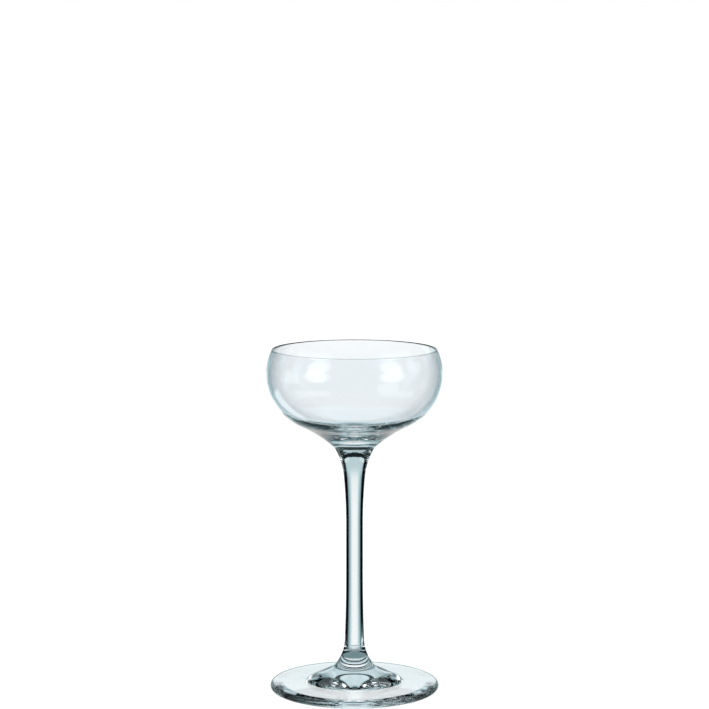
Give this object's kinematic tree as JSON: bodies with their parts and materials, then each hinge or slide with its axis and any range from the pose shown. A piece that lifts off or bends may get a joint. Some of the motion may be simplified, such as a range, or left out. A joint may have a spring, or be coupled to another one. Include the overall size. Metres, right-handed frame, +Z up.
{
  "type": "liqueur glass",
  "caption": "Clear stemmed liqueur glass: a thin shallow saucer bowl with a slightly drawn-in rim on a slim solid stem and a round foot, for serving short drinks.",
  "frame": {"origin": "centre of the plane that the foot stands on, on the axis of the glass", "axes": "+Z up along the axis of the glass; X and Y are alike, because the glass is round"},
  "size_m": [0.0638, 0.0638, 0.125],
  "materials": {
    "blown_glass": "clear, colourless, fire polished at the rim",
    "drawn_glass": "clear, colourless, smooth from drawing",
    "pressed_glass": "clear, colourless, slightly wavy from pressing"
  },
  "bodies": {
    "root": {"bowl": "blown_glass", "stem": "drawn_glass", "foot": "pressed_glass"}
  },
  "joints": []
}
